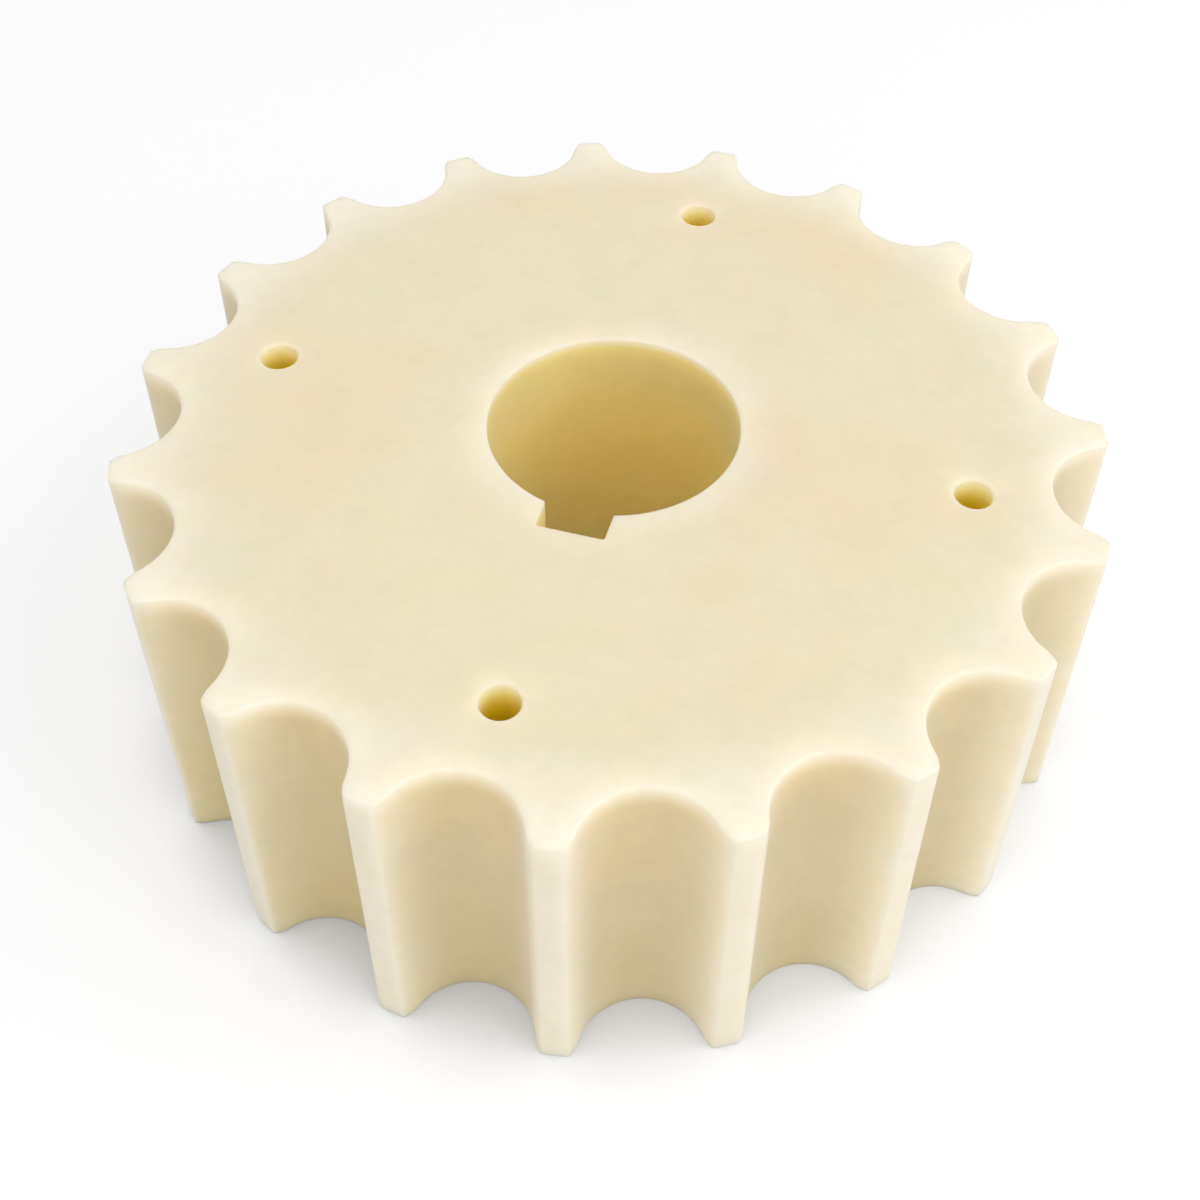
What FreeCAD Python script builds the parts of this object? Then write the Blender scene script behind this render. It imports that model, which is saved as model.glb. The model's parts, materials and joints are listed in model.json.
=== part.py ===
import FreeCAD, Part
import math
import os

# One-piece drive sprocket, moulded or machined in natural nylon, for a flat-top conveyor chain.
# The origin is on the bore's axis in the lower face, and +Z runs up along the axis.
# A tooth stands on +Y. A tooth gap, the keyway and one small hole lie on -Y.
# All lengths are in millimetres and all angles in degrees.

# The chain and the toothed rim. The chain's pitch spans two teeth.
CHAIN_PITCH = 38.1
TEETH = 19
# How far the teeth's lands lie inside the pitch circle.
TIP_DROP = 0.42
# The flat width left on top of each tooth.
LAND_WIDTH = 3.0
# How much a gap widens on each side between its round pocket and its mouth.
MOUTH_FLARE = 0.7
# The convex round that leads each flank onto its land.
FLANK_RADIUS = 3.7
FACE_WIDTH = 42.0

# The hub: a keyed bore for a shaft, with the usual keyway for its size.
BORE_DIAMETER = 30.0
KEYWAY_WIDTH = 8.0
KEYWAY_DEPTH = 3.3

# The small holes that run through from face to face, on a circle inside the teeth.
HOLE_COUNT = 4
HOLE_DIAMETER = 4.5
# From the circle at the bottom of the gaps inwards to the holes' centres.
HOLE_INSET = 8.75

# The fine chamfer along every edge of both faces.
EDGE_BREAK = 0.3

# Sizes that follow from those above.
CHAIN_STEP = 360.0 / (TEETH / 2.0)
TOOTH_STEP = 360.0 / TEETH
PITCH_RADIUS = CHAIN_PITCH / 2.0 / math.sin(math.radians(CHAIN_STEP / 2.0))
TIP_RADIUS = PITCH_RADIUS - TIP_DROP
LAND_HALF_ANGLE = math.degrees(math.asin(LAND_WIDTH / 2.0 / TIP_RADIUS))
CORNER_ANGLE = TOOTH_STEP / 2.0 - LAND_HALF_ANGLE
POCKET_RADIUS = TIP_RADIUS * math.sin(math.radians(CORNER_ANGLE)) - MOUTH_FLARE
ROOT_RADIUS = PITCH_RADIUS - POCKET_RADIUS
BORE_RADIUS = BORE_DIAMETER / 2.0
HOLE_RADIUS = HOLE_DIAMETER / 2.0
HOLE_CIRCLE_RADIUS = ROOT_RADIUS - HOLE_INSET

FRONT = -90.0
UP = FreeCAD.Vector(0, 0, 1)
TINY = 1e-6


def polar(radius, angle):
    """A point at a radius and an angle in the lower face."""
    turn = math.radians(angle)
    return FreeCAD.Vector(radius * math.cos(turn), radius * math.sin(turn), 0)


def turned(point, angle):
    """The point turned about the bore's axis."""
    return FreeCAD.Rotation(UP, angle).multVec(point)


def mirrored(point):
    """The point on the other side of the X axis."""
    return FreeCAD.Vector(point.x, -point.y, point.z)


def flank_centre(pocket, corner):
    """The centre of the flank's arc, which touches the pocket and ends at the land's corner.

    It lies at the sum of both radii from the pocket's centre and at the flank's radius from the
    corner. Of the two such points, the one nearer to the bore's axis is inside the tooth.
    """
    reach = POCKET_RADIUS + FLANK_RADIUS
    across = corner.sub(pocket)
    span = across.Length
    along = (reach ** 2 - FLANK_RADIUS ** 2 + span ** 2) / (2.0 * span)
    aside = math.sqrt(reach ** 2 - along ** 2)
    direction = FreeCAD.Vector(across).normalize()
    square = FreeCAD.Vector(-direction.y, direction.x, 0)
    foot = pocket + direction * along
    return min(foot + square * aside, foot - square * aside, key=lambda point: point.Length)


def arc_middle(centre, radius, start, end):
    """The middle of the short arc between two points on a circle."""
    chord_middle = (start + end) * 0.5
    outwards = chord_middle.sub(centre).normalize()
    return centre + outwards * radius


def tooth_gap():
    """The points of one gap, centred on the X axis, and of the land that follows it."""
    pocket = polar(PITCH_RADIUS, 0)
    corner = polar(TIP_RADIUS, CORNER_ANGLE)
    centre = flank_centre(pocket, corner)
    touch = pocket + centre.sub(pocket) * (POCKET_RADIUS / (POCKET_RADIUS + FLANK_RADIUS))
    flank = arc_middle(centre, FLANK_RADIUS, touch, corner)
    return [
        (mirrored(corner), mirrored(flank), mirrored(touch)),
        (mirrored(touch), polar(ROOT_RADIUS, 0), touch),
        (touch, flank, corner),
        (corner, polar(TIP_RADIUS, TOOTH_STEP / 2.0), polar(TIP_RADIUS, TOOTH_STEP - CORNER_ANGLE)),
    ]


def rim_outline():
    """The closed outline of all teeth, as arcs that meet end to end."""
    gap = tooth_gap()
    edges = []
    for index in range(TEETH):
        angle = FRONT + index * TOOTH_STEP
        for start, middle, end in gap:
            arc = Part.Arc(turned(start, angle), turned(middle, angle), turned(end, angle))
            edges.append(arc.toShape())
    return Part.Wire(edges)


def bore_outline():
    """The bore's circle, opened into the keyway on -Y."""
    half = KEYWAY_WIDTH / 2.0
    mouth = -math.sqrt(BORE_RADIUS ** 2 - half ** 2)
    floor = -BORE_RADIUS - KEYWAY_DEPTH
    right = FreeCAD.Vector(half, mouth, 0)
    left = FreeCAD.Vector(-half, mouth, 0)
    floor_left = FreeCAD.Vector(-half, floor, 0)
    floor_right = FreeCAD.Vector(half, floor, 0)
    return Part.Wire([
        Part.Arc(right, FreeCAD.Vector(0, BORE_RADIUS, 0), left).toShape(),
        Part.makeLine(left, floor_left),
        Part.makeLine(floor_left, floor_right),
        Part.makeLine(floor_right, right),
    ])


def hole_outlines():
    """The small holes' circles, evenly spaced from -Y."""
    outlines = []
    for index in range(HOLE_COUNT):
        place = polar(HOLE_CIRCLE_RADIUS, FRONT + index * 360.0 / HOLE_COUNT)
        outlines.append(Part.Wire([Part.makeCircle(HOLE_RADIUS, place, UP)]))
    return outlines


def face_edges(solid):
    """The edges that lie in one of the two faces."""
    return [edge for edge in solid.Edges if edge.BoundBox.ZLength < TINY]


def sprocket():
    """The whole piece: one outline with its openings, drawn up to the face width, edges broken."""
    outlines = [rim_outline(), bore_outline()] + hole_outlines()
    face = Part.makeFace(outlines, "Part::FaceMakerBullseye")
    blank = face.extrude(UP * FACE_WIDTH)
    body = blank.Solids[0]
    return body.makeChamfer(EDGE_BREAK, face_edges(body))


def main():
    os.makedirs("parts", exist_ok=True)
    shape = sprocket()
    solid = shape.Solids[0]
    print("solids", len(shape.Solids), "valid", solid.isValid(), "volume", round(solid.Volume, 1))
    print("tip", round(TIP_RADIUS, 3), "pocket", round(POCKET_RADIUS, 3), "root", round(ROOT_RADIUS, 3))
    print("hole circle", round(2 * HOLE_CIRCLE_RADIUS, 3))
    solid.exportStep("parts/sprocket.step")


main()
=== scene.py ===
import json
import math
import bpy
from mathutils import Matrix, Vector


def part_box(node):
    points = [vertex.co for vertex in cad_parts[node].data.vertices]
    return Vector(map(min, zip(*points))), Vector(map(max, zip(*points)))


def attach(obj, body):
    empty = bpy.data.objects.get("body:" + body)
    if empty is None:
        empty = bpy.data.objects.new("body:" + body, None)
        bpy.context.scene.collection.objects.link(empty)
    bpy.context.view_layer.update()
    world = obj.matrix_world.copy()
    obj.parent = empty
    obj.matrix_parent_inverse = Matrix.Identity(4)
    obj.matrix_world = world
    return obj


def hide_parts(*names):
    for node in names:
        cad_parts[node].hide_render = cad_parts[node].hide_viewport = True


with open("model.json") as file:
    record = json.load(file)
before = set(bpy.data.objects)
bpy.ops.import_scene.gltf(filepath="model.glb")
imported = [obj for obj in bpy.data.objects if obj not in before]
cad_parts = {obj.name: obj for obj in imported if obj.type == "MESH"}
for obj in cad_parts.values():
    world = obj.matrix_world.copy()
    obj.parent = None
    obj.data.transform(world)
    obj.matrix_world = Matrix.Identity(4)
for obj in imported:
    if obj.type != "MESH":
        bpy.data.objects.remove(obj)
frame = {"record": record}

from types import SimpleNamespace

import bmesh
import bpy
import numpy as np
from bpy.props import FloatProperty, FloatVectorProperty, IntProperty, PointerProperty
from mathutils import Matrix, Vector

bl_info = {
    "name": "Chain Sprocket in Natural Nylon",
    "version": (1, 0, 0),
    "blender": (4, 5, 0),
    "location": "View3D > Sidebar > Sprocket",
    "description": "Builds the surface, the finish and the stage of a keyed plastic chain sprocket",
    "category": "Object",
}

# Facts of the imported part. Lengths in this file are in metres, angles in radians.
MM = 0.001
BODY = "root"
NODE = "sprocket"
LOW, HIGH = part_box(NODE)
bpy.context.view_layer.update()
MOUNTS = {mount["name"]: mount["dims"] for mount in frame["record"]["mounts"]}

# The keyway, one small hole and one tooth gap lie on -Y.
FRONT = -math.pi / 2
HOLES = 4

# How finely the surface is drawn. One tooth and its gap take TOOTH_POINTS points of the outline.
LAND_HALF = 2
CORNER = 3
FLANK = 3
POCKET = 24
TOOTH_POINTS = 2 * (LAND_HALF + CORNER + FLANK) + POCKET
KEY_FLOOR_HALF = 24
KEY_CORNER = 3
KEY_SIDE = 6
EDGE_STEPS = 4
WALL_STEPS = 6
SIDE_STEPS = 16

# A face is drawn as a band inside the tooth gaps, a band round the keyed bore, and the ring
# between them with the small holes. The shares say where the rows of a band or ring lie.
RIM_BAND = 2.8 * MM
BORE_BAND = 5.7 * MM
BAND_ROWS = (0.0, 0.05, 0.4, 1.0)
RING_ROWS = (0.0, 0.5, 0.8, 0.96, 1.0)
# Border points of two surfaces that lie this close together are made one.
WELD = 0.002 * MM

# Clouds and spots of the nylon: the noise's scale and detail, and the two levels it fades between.
PEACH_CLOUDS = (28.0, 3.0, 0.42, 0.62)
STRAW_CLOUDS = (41.0, 3.0, 0.45, 0.65)
GAP_PATCHES = (75.0, 3.0, 0.30, 0.70)
WARM_SPOTS = (120.0, 2.0, 0.40, 0.68)
DULL_SPOTS = (165.0, 2.0, 0.42, 0.66)
GRAIN_SPOTS = (620.0, 2.0, 0.35, 0.70)

# The white bands are a painted glow, the rim bands a painted highlight, and the bands of the gaps,
# the bore and the holes painted shade.
# Where the colours of the nylon start and where they are in full, along X and Y.
PEACH_Y = (-48.0 * MM, -18.0 * MM)
STRAW_Y = (30.0 * MM, -15.0 * MM)
# The flanks' painted shade and the left side's painted shade grow towards -X, away from the lights.
FLANK_X = (50.0 * MM, -5.0 * MM)
LEFT_SHADE_X = (25.0 * MM, -45.0 * MM)
# The same, outwards from the tip circle.
TIP_WHITE = (-14.0 * MM, -2.0 * MM)
FLANK_DEPTH = (-0.08 * MM, -0.50 * MM)
# The same, outwards from the pocket's circle.
GAP_WHITE = (5.0 * MM, 0.0)
GAP_WALL = (0.9 * MM, 0.1 * MM)
FLANK_WALL = (2.4 * MM, 1.2 * MM)
# The same, outwards from the bore's circle and from the keyway's floor.
BORE_WHITE = (6.0 * MM, 0.0)
BORE_RIM = (1.0 * MM, 0.2 * MM)
BORE_WALL = (0.9 * MM, 0.5 * MM)
# The same, outwards from a small hole's circle.
HOLE_RIM = (0.9 * MM, 0.3 * MM)
HOLE_WALL = (0.4 * MM, 0.0)
# The same, down from the upper face or in from the nearer face.
GAP_TOP = (0.0, 3.4 * MM)
TAN_DEPTH = (10.0 * MM, 24.0 * MM)
KHAKI_DEPTH = (26.0 * MM, 50.0 * MM)
LEFT_SHADE_DEPTH = (12.0 * MM, 36.0 * MM)
BORE_TOP = (0.0, 1.5 * MM)
OCHRE_DEPTH = (0.0, 16.0 * MM)
HOLE_TOP = (0.0, 2.0 * MM)
AMBER_DEPTH = (0.5 * MM, 4.5 * MM)
# The same, as shares of the pocket's radius, outwards from its middle.
FLANK_AHEAD = (0.0, -0.3)
ROUND_AHEAD = (-0.25, -1.0)

# How far up a patch can bring the deeper colours of a gap's painted shade.
PATCH_DRIFT = 16.0 * MM

# How strong the painted glow, highlights and shade get. A pair is the least share and what is added
# to it.
EDGE_WHITE_SHARE = 0.5
FLANK_SHARE = (0.35, 0.55)
LEFT_SHADE_SHARE = (0.26, 0.24)
BORE_RIM_SHARE = 0.3
HOLE_RIM_SHARE = 0.25

# The nylon's shader. The scatter shares say how far red, green and blue light travel inside it.
SCATTER_SHARES = (1.0, 0.82, 0.55)
REFRACTION = 1.5
SPECULAR_LEVEL = 0.4
SHEEN = 0.45
SHEEN_ROUGHNESS = 0.32

# The floor's mesh: the points of a ring, and its rings as shares of its radius.
FLOOR_POINTS = 64
FLOOR_RINGS = (0.0, 0.3, 1.0)
# The floor's shade: where it turns paler along X, between which shares of open sky it ends, and
# how many rays measure that share.
BRIGHT_X = (-20.0 * MM, 70.0 * MM)
OPEN_SKY = (0.25, 0.65)
SKY_RAYS = 3

# The camera's film is this many millimetres wide. It sees things between these two distances.
FILM_WIDTH = 36.0
SIGHT = (0.01, 20.0)
# The lens shift and the focal length in the photo's pixels, and how many of them the photo is wide.
SHIFT_PIXELS = (-39.34, -150.0)
FOCAL_PIXELS = 1688.97
PHOTO_WIDTH = 1200


class SprocketSizes(bpy.types.PropertyGroup):
    """The sizes of the wheel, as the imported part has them, and the fine rounds drawn on it."""

    teeth: IntProperty(name="Teeth", description="Number of teeth", default=19, min=8)
    tip_radius: FloatProperty(
        name="Tip radius", description="From the bore's axis to the teeth's lands",
        default=HIGH[1], unit="LENGTH", precision=5)
    tip_drop: FloatProperty(
        name="Tip drop", description="How far the lands lie inside the pitch circle",
        default=0.42 * MM, unit="LENGTH", precision=5)
    land_width: FloatProperty(
        name="Land width", description="The flat left on top of each tooth",
        default=3.0 * MM, unit="LENGTH", precision=5)
    mouth_flare: FloatProperty(
        name="Mouth flare", description="How much a gap widens on each side at its mouth",
        default=0.7 * MM, unit="LENGTH", precision=5)
    flank_radius: FloatProperty(
        name="Flank radius", description="The convex round that leads each flank onto its land",
        default=3.7 * MM, unit="LENGTH", precision=5)
    corner_round: FloatProperty(
        name="Corner round", description="The small round between a flank and its land",
        default=0.50 * MM, unit="LENGTH", precision=5)
    face_width: FloatProperty(
        name="Face width", description="From the lower face to the upper face",
        default=HIGH[2] - LOW[2], unit="LENGTH", precision=5)
    edge_round: FloatProperty(
        name="Edge round", description="The fine round along the teeth's edges on both faces",
        default=0.40 * MM, unit="LENGTH", precision=5)
    bore_radius: FloatProperty(
        name="Bore radius", description="Radius of the keyed bore",
        default=MOUNTS["bore"]["r_mm"] * MM, unit="LENGTH", precision=5)
    key_width: FloatProperty(
        name="Keyway width", description="Width of the keyway",
        default=8.0 * MM, unit="LENGTH", precision=5)
    key_depth: FloatProperty(
        name="Keyway depth", description="From the bore's circle to the keyway's floor",
        default=3.3 * MM, unit="LENGTH", precision=5)
    bore_edge: FloatProperty(
        name="Bore edge round", description="The fine round along the bore's and the keyway's edges",
        default=0.20 * MM, unit="LENGTH", precision=5)
    key_round: FloatProperty(
        name="Keyway round", description="The small round in and on the keyway's corners",
        default=0.25 * MM, unit="LENGTH", precision=5)
    hole_radius: FloatProperty(
        name="Hole radius", description="Radius of the four small holes",
        default=MOUNTS["puller_holes"]["hole_r_mm"] * MM, unit="LENGTH", precision=5)
    hole_edge: FloatProperty(
        name="Hole edge round", description="The fine round along the small holes' edges",
        default=0.25 * MM, unit="LENGTH", precision=5)
    hole_circle: FloatProperty(
        name="Hole circle radius", description="From the bore's axis to the small holes' centres",
        default=MOUNTS["puller_holes"]["pcd_mm"] / 2 * MM, unit="LENGTH", precision=5)


class SprocketFinish(bpy.types.PropertyGroup):
    """The colours and the gloss of the natural nylon, with its painted glow, highlights and shade."""

    cream: FloatVectorProperty(
        name="Cream", description="The main colour of the nylon",
        subtype="COLOR", size=3, default=(0.850, 0.768, 0.552))
    peach: FloatVectorProperty(
        name="Peach", description="The warmer clouds in the nylon",
        subtype="COLOR", size=3, default=(0.855, 0.728, 0.500))
    straw: FloatVectorProperty(
        name="Straw", description="The lighter, slightly greener clouds in the nylon",
        subtype="COLOR", size=3, default=(0.854, 0.779, 0.553))
    # Ivory is a painted glow: light scattered through the thin nylon of the teeth's tips and beside
    # the edges.
    ivory: FloatVectorProperty(
        name="Ivory", description="The whiter nylon of thin places: the teeth's tips and the edges",
        subtype="COLOR", size=3, default=(0.905, 0.850, 0.700))
    # Oat, apricot, tan and khaki are painted shade in the tooth gaps, with the warmer light that
    # bounces and scatters there; khaki is the duller shade towards the foot.
    oat: FloatVectorProperty(
        name="Oat", description="The yellower colour of the flanks of the tooth gaps",
        subtype="COLOR", size=3, default=(0.902, 0.828, 0.638))
    apricot: FloatVectorProperty(
        name="Apricot", description="The warm colour at the top of the round of the tooth gaps",
        subtype="COLOR", size=3, default=(0.800, 0.660, 0.375))
    tan: FloatVectorProperty(
        name="Tan", description="The deeper colour in the round of the tooth gaps",
        subtype="COLOR", size=3, default=(0.735, 0.615, 0.370))
    khaki: FloatVectorProperty(
        name="Khaki", description="The duller colour towards the foot of the tooth gaps",
        subtype="COLOR", size=3, default=(0.690, 0.580, 0.335))
    # Wheat is painted shade: the gaps on the wheel's left side, away from the lights, drawn darker
    # and deeper yellow.
    wheat: FloatVectorProperty(
        name="Wheat", description="What the gaps on the wheel's left side have aged towards",
        subtype="COLOR", size=3, default=(0.660, 0.540, 0.200))
    # Honey and ochre are painted shade inside the bore, with the warmer light bounced and scattered
    # there.
    honey: FloatVectorProperty(
        name="Honey", description="The colour just inside the bore",
        subtype="COLOR", size=3, default=(0.895, 0.770, 0.345))
    ochre: FloatVectorProperty(
        name="Ochre", description="The colour deep inside the bore",
        subtype="COLOR", size=3, default=(0.995, 0.815, 0.310))
    # Butter and amber are painted shade inside the small holes, with the warmer light bounced and
    # scattered there.
    butter: FloatVectorProperty(
        name="Butter", description="The colour just inside the small holes",
        subtype="COLOR", size=3, default=(0.925, 0.840, 0.430))
    amber: FloatVectorProperty(
        name="Amber", description="The colour deep inside the small holes",
        subtype="COLOR", size=3, default=(0.995, 0.770, 0.020))
    # The rim colour is a painted highlight along the near rims of the bore and the small holes.
    rim_highlight: FloatVectorProperty(
        name="Rim white", description="The whitest nylon, along the rims of the bore and the holes",
        subtype="COLOR", size=3, default=(0.960, 0.920, 0.790))
    warm_spot: FloatVectorProperty(
        name="Warm spot", description="What the warmer spots of the nylon are multiplied by",
        subtype="COLOR", size=3, default=(1.000, 0.982, 0.955))
    dull_spot: FloatVectorProperty(
        name="Dull spot", description="What the duller spots of the nylon are multiplied by",
        subtype="COLOR", size=3, default=(0.975, 0.985, 0.982))
    fine_grain: FloatVectorProperty(
        name="Fine grain", description="What the fine grain of the nylon is multiplied by",
        subtype="COLOR", size=3, default=(0.982, 0.980, 0.968))
    roughness: FloatProperty(
        name="Roughness", description="Roughness of the satin surface",
        subtype="FACTOR", default=0.42, min=0.0, max=1.0)
    scatter: FloatProperty(
        name="Scatter depth", description="How far light travels inside the nylon",
        default=5.0 * MM, unit="LENGTH", precision=5)


class SprocketStage(bpy.types.PropertyGroup):
    """The floor, the light and the camera."""

    floor_radius: FloatProperty(
        name="Floor radius", description="Radius of the pale round floor",
        default=4.0, unit="LENGTH")
    floor_gap: FloatProperty(
        name="Floor gap", description="How far the floor lies under the wheel's lower face",
        default=0.02 * MM, unit="LENGTH", precision=6)
    floor_colour: FloatVectorProperty(
        name="Floor colour", description="Colour of the pale floor",
        subtype="COLOR", size=3, default=(0.78, 0.78, 0.78))
    seen_floor: FloatVectorProperty(
        name="Seen floor colour", description="Colour of the open floor as the camera sees it",
        subtype="COLOR", size=3, default=(1.030, 1.032, 1.042), soft_max=1.05)
    seen_shade: FloatVectorProperty(
        name="Seen shade colour", description="The floor by the wheel's foot, on its left and front",
        subtype="COLOR", size=3, default=(0.40, 0.405, 0.41))
    bright_shade: FloatVectorProperty(
        name="Bright shade colour", description="The floor by the wheel's foot, on its bright right",
        subtype="COLOR", size=3, default=(0.78, 0.78, 0.78))
    seen_glow: FloatProperty(
        name="Seen floor glow", description="Share of the seen floor that takes no shadow",
        subtype="FACTOR", default=0.5, min=0.0, max=1.0)
    glow_start: FloatProperty(
        name="Glow start", description="How far out the seen floor starts to lose its shadows",
        default=0.20, unit="LENGTH")
    glow_end: FloatProperty(
        name="Glow end", description="How far out the seen floor has lost all its shadows",
        default=0.60, unit="LENGTH")
    shade_reach: FloatProperty(
        name="Shade reach", description="How far from the wheel the deeper shade goes",
        default=19.0 * MM, unit="LENGTH", precision=5)
    sky: FloatProperty(
        name="Sky light", description="Strength of the even light from all round",
        default=0.57, min=0.0)
    side_place: FloatVectorProperty(
        name="Side softbox place", description="Where the softbox on the wheel's right stands",
        subtype="XYZ", unit="LENGTH", size=3, default=(0.63, 0.0, 0.55))
    side_power: FloatProperty(
        name="Side softbox power", description="Power of the softbox on the right",
        default=2.50, min=0.0, unit="POWER")
    front_place: FloatVectorProperty(
        name="Front softbox place", description="Where the softbox high over the front hangs",
        subtype="XYZ", unit="LENGTH", size=3, default=(0.00, -0.26, 0.80))
    front_power: FloatProperty(
        name="Front softbox power", description="Power of the softbox over the front",
        default=1.62, min=0.0, unit="POWER")
    corner_place: FloatVectorProperty(
        name="Low panel place", description="Where the low panel before the wheel's front stands",
        subtype="XYZ", unit="LENGTH", size=3, default=(0.13, -0.74, 0.35))
    corner_power: FloatProperty(
        name="Low panel power", description="Power of the low panel",
        default=0.85, min=0.0, unit="POWER")
    lamp_size: FloatProperty(
        name="Lamp size", description="Side of each square softbox and panel",
        default=0.70, unit="LENGTH")
    shift: FloatVectorProperty(
        name="Camera shift", description="Lens shift as a share of the picture's width",
        size=2, default=tuple(pixels / PHOTO_WIDTH for pixels in SHIFT_PIXELS))
    azimuth: FloatProperty(
        name="Camera azimuth", description="Turn of the camera round the wheel, 0 from -Y",
        subtype="ANGLE", default=math.radians(13.97))
    elevation: FloatProperty(
        name="Camera elevation", description="Height of the camera above the horizon",
        subtype="ANGLE", default=math.radians(44.36))
    roll: FloatProperty(
        name="Camera roll", description="Turn of the camera about its own line of sight",
        subtype="ANGLE", default=math.radians(1.478))
    distance: FloatProperty(
        name="Camera distance", description="How far back the camera is from the lower face's centre",
        default=228.77 * MM, unit="LENGTH")
    aside: FloatProperty(
        name="Camera aside", description="How far the camera is moved to its right",
        default=3.77 * MM, unit="LENGTH", precision=5)
    above: FloatProperty(
        name="Camera above", description="How far the camera is moved up in its own frame",
        default=26.77 * MM, unit="LENGTH", precision=5)
    focal: FloatProperty(
        name="Focal share", description="Focal length as a share of the picture's width",
        default=FOCAL_PIXELS / PHOTO_WIDTH, min=0.1)


def arc(centre, radius, start, end, steps, outward):
    """Points and normals of a circular arc, without its last point.

    A point is the centre plus the radius along an angle that runs evenly from start to end. The
    normal is that direction, turned round where the material lies outside the circle.
    """
    angle = start + (end - start) * np.arange(steps) / steps
    direction = np.stack([np.cos(angle), np.sin(angle)], axis=1)
    return np.asarray(centre) + radius * direction, direction * outward


def straight(start, end, normal, steps):
    """Points and normals of a straight stretch, without its last point."""
    share = (np.arange(steps) / steps)[:, None]
    start, end = np.asarray(start), np.asarray(end)
    return start + (end - start) * share, np.tile(normal, (steps, 1))


def direction_of(point, centre=(0.0, 0.0)):
    """The angle of the line from the centre to the point."""
    return math.atan2(point[1] - centre[1], point[0] - centre[0])


def nearest_turn(angle, other):
    """The angle, moved by whole turns until it is within half a turn of the other."""
    return other + (angle - other + math.pi) % (2 * math.pi) - math.pi


def circles_meet(first, first_radius, second, second_radius):
    """Where two circles meet, at the point that lies nearer to the bore's axis."""
    first, second = np.asarray(first, float), np.asarray(second, float)
    across = second - first
    span = np.hypot(*across)
    along = (first_radius ** 2 - second_radius ** 2 + span ** 2) / (2 * span)
    aside = math.sqrt(max(first_radius ** 2 - along ** 2, 0.0))
    unit = across / span
    square = np.array([-unit[1], unit[0]])
    choices = [first + unit * along + square * aside, first + unit * along - square * aside]
    return min(choices, key=lambda point: np.hypot(*point))


def outer_meet(centre, radius, tip):
    """Where a circle round centre meets the circle of radius tip, on the gap's side of the tooth."""
    centre = np.asarray(centre, float)
    span = np.hypot(*centre)
    along = (span ** 2 + tip ** 2 - radius ** 2) / (2 * span)
    aside = math.sqrt(max(tip ** 2 - along ** 2, 0.0))
    unit = centre / span
    square = np.array([unit[1], -unit[0]])
    return unit * along + square * aside


def turned(points, angles):
    """The points turned by each angle in turn, one copy after another."""
    cos, sin = np.cos(angles)[:, None], np.sin(angles)[:, None]
    x, y = points[:, 0], points[:, 1]
    return np.stack([x * cos - y * sin, x * sin + y * cos], axis=2).reshape(-1, 2)


def both_sides(pieces, end):
    """The pieces of half an outline in one row, with the other half before them.

    The half starts on the X axis and runs to the given end point. The other half is its mirror
    image in that axis, run backwards. Each leaves out its last point, where the next one starts.
    """
    points, normals = (np.vstack(parts) for parts in zip(*pieces, end))
    flip = np.array([1.0, -1.0])
    return (np.vstack([(points[::-1] * flip)[:-1], points[:-1]]),
            np.vstack([(normals[::-1] * flip)[:-1], normals[:-1]]))


def pocket_radius(sizes):
    """The radius of the round pocket between two teeth."""
    corner_angle = math.pi / sizes.teeth - math.asin(sizes.land_width / 2 / sizes.tip_radius)
    return sizes.tip_radius * math.sin(corner_angle) - sizes.mouth_flare


def rim_outline(sizes):
    """The closed outline of all teeth, with its outward normals.

    Half a gap is four arcs that touch each other: the pocket on the pitch circle, the convex
    flank, the small corner round and the land on the tip circle. The half is mirrored, and the
    whole gap is turned once for each tooth, starting with the gap on -Y.
    """
    step = 2 * math.pi / sizes.teeth
    tip, flank, small = sizes.tip_radius, sizes.flank_radius, sizes.corner_round
    corner_angle = step / 2 - math.asin(sizes.land_width / 2 / tip)
    corner = tip * np.array([math.cos(corner_angle), math.sin(corner_angle)])
    pocket = pocket_radius(sizes)
    gap = np.array([tip + sizes.tip_drop, 0.0])
    flank_centre = circles_meet(gap, pocket + flank, corner, flank)
    # The corner's round touches the flank and the land from inside the tooth.
    round_centre = outer_meet(flank_centre, flank - small, tip - small)
    touch = direction_of(flank_centre, gap)
    flank_start = direction_of(gap, flank_centre)
    flank_end = direction_of(round_centre, flank_centre)
    land_start = direction_of(round_centre)
    pieces = [
        arc(gap, pocket, math.pi, touch, POCKET // 2, -1),
        arc(flank_centre, flank, nearest_turn(flank_start, flank_end), flank_end, FLANK, 1),
        arc(round_centre, small, flank_end, land_start, CORNER, 1),
        arc((0.0, 0.0), tip, land_start, step / 2, LAND_HALF, 1),
    ]
    middle = np.array([[math.cos(step / 2), math.sin(step / 2)]])
    points, normals = both_sides(pieces, (middle * tip, middle))
    turns = FRONT + np.arange(sizes.teeth) * step
    return turned(points, turns), turned(normals, turns)


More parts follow.
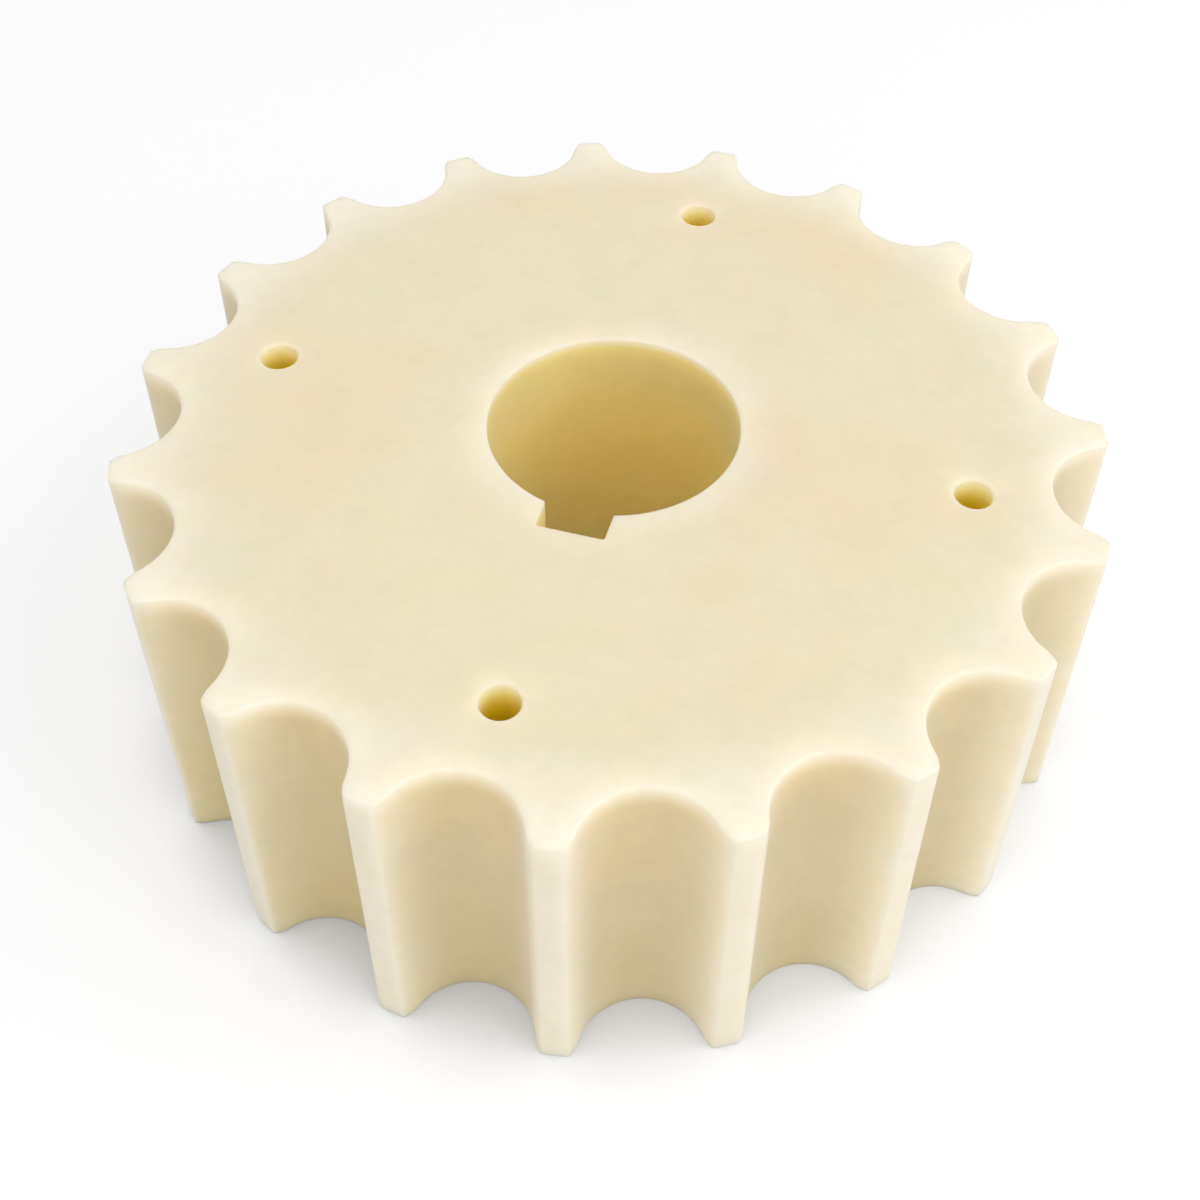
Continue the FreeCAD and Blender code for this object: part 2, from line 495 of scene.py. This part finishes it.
def bore_outline(sizes, count):
    """The closed outline of the keyed bore, with normals that point into the opening.

    Half of it is the keyway's floor, a small inner corner, the keyway's side, a small outer
    corner and the bore's circle round to +Y. The other half mirrors it.
    """
    half, radius, small = sizes.key_width / 2, sizes.bore_radius, sizes.key_round
    floor = radius + sizes.key_depth
    inner = np.array([floor - small, half - small])
    outer_y = half + small
    outer = np.array([math.sqrt((radius + small) ** 2 - outer_y ** 2), outer_y])
    meet = direction_of(outer)
    arc_steps = count // 2 - KEY_FLOOR_HALF - 2 * KEY_CORNER - KEY_SIDE
    quarter = math.pi / 2
    pieces = [
        straight((floor, 0.0), (floor, inner[1]), (-1.0, 0.0), KEY_FLOOR_HALF),
        arc(inner, small, 0.0, quarter, KEY_CORNER, -1),
        straight((inner[0], half), (outer[0], half), (0.0, -1.0), KEY_SIDE),
        arc(outer, small, -quarter, meet - math.pi, KEY_CORNER, 1),
        arc((0.0, 0.0), radius, meet, math.pi, arc_steps, -1),
    ]
    points, normals = both_sides(pieces, (np.array([[-radius, 0.0]]), np.array([[1.0, 0.0]])))
    # The half run backwards starts at the circle's far side, so the keyway is half-way round.
    shift = count // 2 - TOOTH_POINTS // 2
    points, normals = np.roll(points, -shift, axis=0), np.roll(normals, -shift, axis=0)
    return turned(points, np.array([FRONT])), turned(normals, np.array([FRONT]))


def edge_profile(size, width):
    """How far each row of a wall is drawn in from the outline, and its height.

    The rows run down a quarter circle of the given size at the upper edge, the straight wall,
    and a quarter circle at the lower edge.
    """
    turn = np.linspace(0.0, math.pi / 2, EDGE_STEPS + 1)
    top_inset = size * (1 - np.sin(turn))
    top_height = width - size * (1 - np.cos(turn))
    wall = np.linspace(width - 2 * size, 2 * size, WALL_STEPS + 1)
    inset = np.concatenate([top_inset, np.zeros_like(wall), top_inset[::-1]])
    height = np.concatenate([top_height, wall, width - top_height[::-1]])
    return inset, height


def wall_surface(outline, size, width):
    """A wall on a grid: outline times rows, each point moved inwards and to its row's height."""
    points, normals = outline
    inset, height = edge_profile(size, width)
    flat = points[None] - normals[None] * inset[:, None, None]
    rise = np.broadcast_to(height[:, None, None], flat.shape[:2] + (1,))
    return np.concatenate([flat, rise], axis=2)


def face_surface(outer, inner, shares, height):
    """A flat stretch of a face on a grid: each row is a share of the way from outer to inner."""
    share = np.asarray(shares)[:, None, None]
    flat = outer[None] * (1 - share) + inner[None] * share
    return np.concatenate([flat, np.full(flat.shape[:2] + (1,), height)], axis=2)


def circle(radius, count):
    """Even points on a circle, in step with the rim's points."""
    angle = FRONT + (np.arange(count) - TOOTH_POINTS // 2) * 2 * math.pi / count
    return radius * np.stack([np.cos(angle), np.sin(angle)], axis=1)


def sector_border(outer, inner, middle):
    """The closed border of the sector round one small hole.

    It runs along the outer circle, in along one side, back along the inner circle and out along
    the other side. The middle is the index of the hole's own direction on both circles.
    """
    count = len(outer)
    half = count // (2 * HOLES)
    span = np.arange(middle - half, middle + half + 1) % count
    share = (np.arange(1, SIDE_STEPS) / SIDE_STEPS)[:, None]
    far, near = outer[span], inner[span][::-1]
    down = far[-1] * (1 - share) + near[0] * share
    up = near[-1] * (1 - share) + far[0] * share
    return np.vstack([far, down, near, up])


def grid_quads(rows, columns, first):
    """The quads of a grid whose rows are closed, as vertex numbers from first on."""
    row = np.arange(rows - 1)[:, None] * columns
    column = np.arange(columns)[None]
    following = (column + 1) % columns
    quads = [row + column, row + following, row + columns + following, row + columns + column]
    return np.stack(quads, axis=2).reshape(-1, 4) + first


def joined_mesh(name, grids):
    """One closed mesh from several grids whose borders share their points."""
    vertices = np.concatenate([grid.reshape(-1, 3) for grid in grids])
    starts = np.cumsum([0] + [grid.shape[0] * grid.shape[1] for grid in grids[:-1]])
    quads = np.concatenate([
        grid_quads(grid.shape[0], grid.shape[1], start) for grid, start in zip(grids, starts)])
    mesh = bpy.data.meshes.new(name)
    mesh.from_pydata(vertices, [], quads)
    work = bmesh.new()
    work.from_mesh(mesh)
    bmesh.ops.remove_doubles(work, verts=work.verts, dist=WELD)
    bmesh.ops.recalc_face_normals(work, faces=work.faces)
    work.to_mesh(mesh)
    work.free()
    mesh.shade_smooth()
    return mesh


def body_grids(sizes):
    """All surfaces of the wheel: its rim, bore and holes, and both faces between them."""
    rim = rim_outline(sizes)
    count = len(rim[0])
    bore = bore_outline(sizes, count)
    width = sizes.face_width
    root = np.hypot(*rim[0].T).min()
    outer = circle(root - RIM_BAND, count)
    inner = circle(sizes.bore_radius + sizes.key_depth + BORE_BAND, count)
    rim_inset = rim[0] - rim[1] * sizes.edge_round
    bore_inset = bore[0] - bore[1] * sizes.bore_edge
    grids = [
        wall_surface(rim, sizes.edge_round, width), wall_surface(bore, sizes.bore_edge, width)]
    for height in (0.0, width):
        grids.append(face_surface(rim_inset, outer, BAND_ROWS, height))
        grids.append(face_surface(bore_inset, inner, BAND_ROWS, height))
    for index in range(HOLES):
        angle = FRONT + index * 2 * math.pi / HOLES
        centre = sizes.hole_circle * np.array([math.cos(angle), math.sin(angle)])
        border = sector_border(outer, inner, TOOTH_POINTS // 2 + index * count // HOLES)
        # The hole's circle has a point in the direction of each point of the border.
        ray = border - centre
        ring = ray / np.hypot(ray[:, 0], ray[:, 1])[:, None]
        edge_ring = centre + ring * (sizes.hole_radius + sizes.hole_edge)
        wall = (centre + ring * sizes.hole_radius, -ring)
        grids.append(wall_surface(wall, sizes.hole_edge, width))
        for height in (0.0, width):
            grids.append(face_surface(border, edge_ring, RING_ROWS, height))
    return grids


def tree_of(material):
    """The empty node tree of a material or a world."""
    material.use_nodes = True
    material.node_tree.nodes.clear()
    return material.node_tree


def node(tree, kind, **settings):
    """A node with its settings and the values of its named inputs."""
    made = tree.nodes.new(kind)
    for key, value in settings.items():
        if key in made.inputs:
            made.inputs[key].default_value = value
        else:
            setattr(made, key, value)
    return made


def maths(tree, operation, first, second=None, third=None):
    """A Math node, fed with links or numbers, and its result."""
    made = node(tree, "ShaderNodeMath", operation=operation)
    for socket, value in zip(made.inputs, (first, second, third)):
        if isinstance(value, bpy.types.NodeSocket):
            tree.links.new(value, socket)
        elif value is not None:
            socket.default_value = value
    return made.outputs[0]


def times(tree, first, *others):
    """The product of several links or numbers."""
    for other in others:
        first = maths(tree, "MULTIPLY", first, other)
    return first


def fade(tree, value, band, base=0.0):
    """A smooth step of the value, 0 at the band's start and 1 at its end, both counted from base."""
    made = node(tree, "ShaderNodeMapRange", interpolation_type="SMOOTHSTEP")
    made.inputs["From Min"].default_value = base + band[0]
    made.inputs["From Max"].default_value = base + band[1]
    tree.links.new(value, made.inputs["Value"])
    return made.outputs["Result"]


def opaque(colour):
    """A plain colour with the fourth number that shader sockets take."""
    return tuple(colour) + (1.0,)


def blend(tree, factor, first, second, kind="MIX"):
    """A mix of two colours, each a link or a plain colour."""
    made = node(tree, "ShaderNodeMix", data_type="RGBA", blend_type=kind)
    tree.links.new(factor, made.inputs["Factor"])
    for socket, value in ((made.inputs["A"], first), (made.inputs["B"], second)):
        if isinstance(value, bpy.types.NodeSocket):
            tree.links.new(value, socket)
        else:
            socket.default_value = opaque(value)
    return made.outputs["Result"]


def mixed_shader(tree, factor, first, second):
    """A mix of two shaders by a linked factor."""
    made = node(tree, "ShaderNodeMixShader")
    for socket, link in zip(made.inputs, (factor, first.outputs[0], second.outputs[0])):
        tree.links.new(link, socket)
    return made


def distance(tree, first, second):
    """The length of the line with these two plain distances."""
    square = times(tree, second, second)
    return maths(tree, "SQRT", maths(tree, "MULTIPLY_ADD", first, first, square))


def object_point(tree):
    """The point in the object's own coordinates, and its X, Y and Z."""
    where = node(tree, "ShaderNodeTexCoord").outputs["Object"]
    split = node(tree, "ShaderNodeSeparateXYZ")
    tree.links.new(where, split.inputs[0])
    return (where, *split.outputs)


def clouds(tree, where, kind):
    """Soft noise on object coordinates, spread from 0 to 1 between two of its levels."""
    scale, detail, low, high = kind
    noise = node(tree, "ShaderNodeTexNoise", Scale=scale, Detail=detail, Roughness=0.5)
    tree.links.new(where, noise.inputs["Vector"])
    return fade(tree, noise.outputs["Fac"], (low, high))


def wheel_point(tree, sizes):
    """What the nylon's colours need to know of a point.

    Its object coordinates, its distances from the bore's axis, from the upper face and from the
    nearer face, its distance from the middle of the nearest gap's pocket, and how far outwards
    of that middle it lies. The point's angle from -Y is counted in tooth steps, and what is left
    over from the nearest whole step is its angle from that gap's own line.
    """
    where, x, y, z = object_point(tree)
    radius = distance(tree, x, y)
    below = maths(tree, "SUBTRACT", sizes.face_width, z)
    step = 2 * math.pi / sizes.teeth
    angle = maths(tree, "SUBTRACT", maths(tree, "ARCTAN2", y, x), FRONT)
    steps = maths(tree, "DIVIDE", angle, step)
    left = times(tree, maths(tree, "SUBTRACT", steps, maths(tree, "ROUND", steps)), step)
    pitch = sizes.tip_radius + sizes.tip_drop
    ahead = maths(tree, "SUBTRACT", times(tree, radius, maths(tree, "COSINE", left)), pitch)
    aside = times(tree, radius, maths(tree, "SINE", left))
    return SimpleNamespace(
        where=where, x=x, y=y, radius=radius, below=below,
        inside=maths(tree, "MINIMUM", below, z), gap=distance(tree, ahead, aside), ahead=ahead)


def cloudy(tree, point, finish):
    """The cream of the nylon, with peach clouds towards the back and straw towards the front."""
    peach = times(tree, clouds(tree, point.where, PEACH_CLOUDS), fade(tree, point.y, PEACH_Y))
    straw = times(tree, clouds(tree, point.where, STRAW_CLOUDS), fade(tree, point.y, STRAW_Y))
    colour = blend(tree, peach, finish.cream, finish.peach)
    return blend(tree, straw, colour, finish.straw)


def painted_thin_glow(tree, point, sizes, finish, colour):
    """Painted glow: ivory beside the gaps' and the bore's edges, and towards the teeth's tips."""
    # The glow stands in for light scattered through the thin nylon there.
    by_gap = fade(tree, point.gap, GAP_WHITE, pocket_radius(sizes))
    by_bore = fade(tree, point.radius, BORE_WHITE, sizes.bore_radius)
    by_tip = fade(tree, point.radius, TIP_WHITE, sizes.tip_radius)
    by_edge = times(tree, EDGE_WHITE_SHARE, maths(tree, "MAXIMUM", by_gap, by_bore))
    return blend(tree, maths(tree, "MAXIMUM", by_edge, by_tip), colour, finish.ivory)


def painted_gap_shade(tree, point, sizes, finish, colour):
    """Painted shade: the deeper colours in the tooth gaps, in full from a few millimetres below
    the upper face.

    The flanks are oat. The round of each gap goes from apricot through tan to khaki on its way
    down, with patches of the painted shade higher up. On the left side, away from the lights,
    it deepens towards wheat.
    """
    pocket = pocket_radius(sizes)
    top = fade(tree, point.below, GAP_TOP)
    lower = times(tree, fade(tree, point.gap, GAP_WALL, pocket), top)
    flank = times(tree, lower, fade(tree, point.ahead, [share * pocket for share in FLANK_AHEAD]))
    colour = blend(tree, flank, colour, finish.oat)

    # The flanks' painted shade is stronger on the wheel's left, away from the lights.
    least, added = FLANK_SHARE
    left_share = maths(tree, "MULTIPLY_ADD", fade(tree, point.x, FLANK_X), added, least)
    convex = times(
        tree, fade(tree, point.gap, FLANK_WALL, pocket),
        fade(tree, point.radius, FLANK_DEPTH, sizes.tip_radius), left_share, top)
    colour = blend(tree, convex, colour, finish.oat)

    patches = clouds(tree, point.where, GAP_PATCHES)
    drift = maths(tree, "MULTIPLY_ADD", patches, PATCH_DRIFT, point.below)
    back = blend(tree, fade(tree, drift, TAN_DEPTH), finish.apricot, finish.tan)
    back = blend(tree, fade(tree, drift, KHAKI_DEPTH), back, finish.khaki)
    ahead = fade(tree, point.ahead, [share * pocket for share in ROUND_AHEAD])
    colour = blend(tree, times(tree, lower, ahead), colour, back)

    # Painted shade on the wheel's left side, away from the lights, growing with depth below the upper
    # face.
    least, added = LEFT_SHADE_SHARE
    shaded = maths(tree, "MULTIPLY_ADD", fade(tree, point.below, LEFT_SHADE_DEPTH), added, least)
    shaded = times(tree, lower, fade(tree, point.x, LEFT_SHADE_X), shaded)
    return blend(tree, shaded, colour, finish.wheat)


def painted_bore_highlight_and_shade(tree, point, sizes, finish, colour):
    """Painted highlight on the rim, painted shade on the wall: honey near a face, ochre further in.
    """
    rim = times(tree, BORE_RIM_SHARE, fade(tree, point.radius, BORE_RIM, sizes.bore_radius))
    colour = blend(tree, rim, colour, finish.rim_highlight)
    key_floor = sizes.bore_radius + sizes.key_depth
    in_bore = times(
        tree, fade(tree, point.radius, BORE_WALL, key_floor), fade(tree, point.inside, BORE_TOP))
    wall = blend(tree, fade(tree, point.inside, OCHRE_DEPTH), finish.honey, finish.ochre)
    return blend(tree, in_bore, colour, wall)


def painted_hole_highlight_and_shade(tree, point, sizes, finish, colour):
    """A painted highlight round each small hole, and painted shade on its wall: butter, then amber.

    The larger of the point's distances along X and Y is the one on the line from the bore's axis
    to the nearest small hole.
    """
    along, across = maths(tree, "ABSOLUTE", point.x), maths(tree, "ABSOLUTE", point.y)
    far = maths(tree, "SUBTRACT", maths(tree, "MAXIMUM", along, across), sizes.hole_circle)
    hole = distance(tree, far, maths(tree, "MINIMUM", along, across))
    rim = times(tree, HOLE_RIM_SHARE, fade(tree, hole, HOLE_RIM, sizes.hole_radius))
    colour = blend(tree, rim, colour, finish.rim_highlight)
    in_hole = times(
        tree, fade(tree, hole, HOLE_WALL, sizes.hole_radius), fade(tree, point.inside, HOLE_TOP))
    wall = blend(tree, fade(tree, point.inside, AMBER_DEPTH), finish.butter, finish.amber)
    return blend(tree, in_hole, colour, wall)


def nylon(sizes, finish):
    """Natural nylon: cloudy cream, whiter at the edges with a painted glow, and deeper in the
    gaps, the bore and the holes with painted shade.

    Small mottles lie over all of it: warmer spots, duller spots and a fine grain.
    """
    material = bpy.data.materials.new("natural_nylon")
    tree = tree_of(material)
    point = wheel_point(tree, sizes)
    colour = cloudy(tree, point, finish)
    for step in (painted_thin_glow, painted_gap_shade, painted_bore_highlight_and_shade, painted_hole_highlight_and_shade):
        colour = step(tree, point, sizes, finish, colour)
    for kind, tint in (
            (WARM_SPOTS, finish.warm_spot), (DULL_SPOTS, finish.dull_spot),
            (GRAIN_SPOTS, finish.fine_grain)):
        colour = blend(tree, clouds(tree, point.where, kind), colour, tint, "MULTIPLY")

    shader = node(
        tree, "ShaderNodeBsdfPrincipled", subsurface_method="BURLEY",
        Roughness=finish.roughness, IOR=REFRACTION)
    for name, value in (
            ("Subsurface Weight", 1.0), ("Subsurface Radius", SCATTER_SHARES),
            ("Subsurface Scale", finish.scatter), ("Specular IOR Level", SPECULAR_LEVEL),
            ("Sheen Weight", SHEEN), ("Sheen Roughness", SHEEN_ROUGHNESS)):
        shader.inputs[name].default_value = value
    tree.links.new(colour, shader.inputs["Base Color"])
    output = node(tree, "ShaderNodeOutputMaterial")
    tree.links.new(shader.outputs[0], output.inputs["Surface"])
    return material


def pale_floor(stage):
    """A plain pale floor that shows white to the camera and keeps the wheel's shadow.

    The seen colour goes from that of the open floor to that of the shade by the share of the sky
    that the wheel hides within the shade's reach. The shade is paler on the wheel's bright
    right. The camera sees that colour in part lit, with its shadows, and in part glowing as it
    is. Farther out it only glows, so the floor runs into the white behind it.
    """
    material = bpy.data.materials.new("pale_floor")
    tree = tree_of(material)
    _, x, y, _ = object_point(tree)
    shade = blend(tree, fade(tree, x, BRIGHT_X), stage.seen_shade, stage.bright_shade)
    open_share = node(
        tree, "ShaderNodeAmbientOcclusion", Distance=stage.shade_reach, samples=SKY_RAYS)
    lit = fade(tree, open_share.outputs["AO"], OPEN_SKY)
    shown = blend(tree, lit, shade, stage.seen_floor)
    shadowed = node(tree, "ShaderNodeBsdfDiffuse")
    glowing = node(tree, "ShaderNodeEmission", Strength=1.0)
    for made in (shadowed, glowing):
        tree.links.new(shown, made.inputs["Color"])
    far = fade(tree, distance(tree, x, y), (stage.glow_start, stage.glow_end))
    glow = maths(tree, "MULTIPLY_ADD", far, 1.0 - stage.seen_glow, stage.seen_glow)
    seen = mixed_shader(tree, glow, shadowed, glowing)
    plain = node(tree, "ShaderNodeBsdfDiffuse", Color=opaque(stage.floor_colour))
    by_camera = node(tree, "ShaderNodeLightPath").outputs["Is Camera Ray"]
    mix = mixed_shader(tree, by_camera, plain, seen)
    output = node(tree, "ShaderNodeOutputMaterial")
    tree.links.new(mix.outputs[0], output.inputs["Surface"])
    return material


def make_floor(stage):
    """A round floor just under the wheel, a grid of angle times distance."""
    angle = np.linspace(0.0, 2 * math.pi, FLOOR_POINTS, endpoint=False)
    reach = np.array(FLOOR_RINGS)[:, None] * stage.floor_radius
    level = np.full((len(FLOOR_RINGS), FLOOR_POINTS), -stage.floor_gap)
    grid = np.stack([reach * np.cos(angle), reach * np.sin(angle), level], axis=2)
    mesh = bpy.data.meshes.new("floor")
    mesh.from_pydata(grid.reshape(-1, 3), [], grid_quads(len(FLOOR_RINGS), FLOOR_POINTS, 0))
    floor = bpy.data.objects.new("floor", mesh)
    floor.data.materials.append(pale_floor(stage))
    bpy.context.scene.collection.objects.link(floor)


def make_sky(stage):
    """Even white light from all round, which the camera sees as plain white."""
    world = bpy.data.worlds.new("soft_white")
    bpy.context.scene.world = world
    tree = tree_of(world)
    path = node(tree, "ShaderNodeLightPath").outputs
    seen = maths(tree, "MAXIMUM", path["Is Camera Ray"], path["Is Transmission Ray"])
    seen = maths(tree, "MAXIMUM", seen, path["Is Glossy Ray"])
    strength = node(tree, "ShaderNodeMapRange")
    tree.links.new(seen, strength.inputs["Value"])
    strength.inputs["To Min"].default_value = stage.sky
    strength.inputs["To Max"].default_value = 1.0
    light = node(tree, "ShaderNodeBackground", Color=opaque((1.0, 1.0, 1.0)))
    tree.links.new(strength.outputs["Result"], light.inputs["Strength"])
    output = node(tree, "ShaderNodeOutputWorld")
    tree.links.new(light.outputs[0], output.inputs["Surface"])


def make_lamp(name, place, size, power):
    """A large soft square lamp, turned towards the middle of the wheel."""
    data = bpy.data.lights.new(name, "AREA")
    data.shape = "SQUARE"
    data.size = size
    data.energy = power
    lamp = bpy.data.objects.new(name, data)
    lamp.location = place
    middle = Vector((0.0, 0.0, (LOW[2] + HIGH[2]) / 2))
    lamp.rotation_euler = (middle - Vector(place)).to_track_quat("-Z", "Y").to_euler()
    bpy.context.scene.collection.objects.link(lamp)


def make_camera(stage):
    """The camera at the photograph's angle.

    It looks along a line given by azimuth and elevation, is rolled about it, and is then moved
    aside and above in its own frame. The lens shift keeps the wheel in the picture.
    """
    azimuth, elevation = stage.azimuth, stage.elevation
    back = Vector((
        math.sin(azimuth) * math.cos(elevation), -math.cos(azimuth) * math.cos(elevation),
        math.sin(elevation)))
    level = Vector((math.cos(azimuth), math.sin(azimuth), 0.0))
    rise = back.cross(level)
    cos, sin = math.cos(stage.roll), math.sin(stage.roll)
    right, up = level * cos + rise * sin, rise * cos - level * sin
    data = bpy.data.cameras.new("photo_camera")
    data.sensor_width = FILM_WIDTH
    data.lens = FILM_WIDTH * stage.focal
    data.shift_x, data.shift_y = stage.shift
    data.clip_start, data.clip_end = SIGHT
    camera = bpy.data.objects.new("photo_camera", data)
    place = back * stage.distance + right * stage.aside + up * stage.above
    turn = Matrix((right, up, back)).transposed().to_4x4()
    camera.matrix_world = Matrix.Translation(place) @ turn
    bpy.context.scene.collection.objects.link(camera)
    bpy.context.scene.camera = camera


class SPROCKET_OT_body(bpy.types.Operator):
    """Build the wheel's surface and give it its nylon."""

    bl_idname = "sprocket.body"
    bl_label = "Wheel"

    def execute(self, context):
        sizes = context.scene.sprocket_sizes
        mesh = joined_mesh("sprocket_body", body_grids(sizes))
        body = bpy.data.objects.new("sprocket_body", mesh)
        context.scene.collection.objects.link(body)
        mesh.materials.append(nylon(sizes, context.scene.sprocket_finish))
        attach(body, BODY)
        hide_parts(NODE)
        return {"FINISHED"}


class SPROCKET_OT_stage(bpy.types.Operator):
    """Make the pale floor, the soft light and the camera."""

    bl_idname = "sprocket.stage"
    bl_label = "Stage"

    def execute(self, context):
        stage = context.scene.sprocket_stage
        make_floor(stage)
        make_sky(stage)
        make_lamp("side_softbox", stage.side_place, stage.lamp_size, stage.side_power)
        make_lamp("front_softbox", stage.front_place, stage.lamp_size, stage.front_power)
        make_lamp("corner_panel", stage.corner_place, stage.lamp_size, stage.corner_power)
        make_camera(stage)
        context.scene.view_settings.view_transform = "Standard"
        return {"FINISHED"}


class SPROCKET_PT_panel(bpy.types.Panel):
    """Sizes, finish and stage of the sprocket."""

    bl_label = "Sprocket"
    bl_idname = "SPROCKET_PT_panel"
    bl_space_type = "VIEW_3D"
    bl_region_type = "UI"
    bl_category = "Sprocket"

    def draw(self, context):
        scene = context.scene
        for label, group in (
                ("Sizes", scene.sprocket_sizes), ("Finish", scene.sprocket_finish),
                ("Stage", scene.sprocket_stage)):
            box = self.layout.box()
            box.label(text=label)
            for key in group.__annotations__:
                box.prop(group, key)
        self.layout.operator(SPROCKET_OT_body.bl_idname)
        self.layout.operator(SPROCKET_OT_stage.bl_idname)


CLASSES = (
    SprocketSizes, SprocketFinish, SprocketStage,
    SPROCKET_OT_body, SPROCKET_OT_stage, SPROCKET_PT_panel)


def register():
    for made in CLASSES:
        bpy.utils.register_class(made)
    bpy.types.Scene.sprocket_sizes = PointerProperty(type=SprocketSizes)
    bpy.types.Scene.sprocket_finish = PointerProperty(type=SprocketFinish)
    bpy.types.Scene.sprocket_stage = PointerProperty(type=SprocketStage)


def unregister():
    del bpy.types.Scene.sprocket_stage
    del bpy.types.Scene.sprocket_finish
    del bpy.types.Scene.sprocket_sizes
    for made in reversed(CLASSES):
        bpy.utils.unregister_class(made)


def main():
    register()
    bpy.ops.sprocket.body()
    bpy.ops.sprocket.stage()


if __name__ == "__main__":
    main()
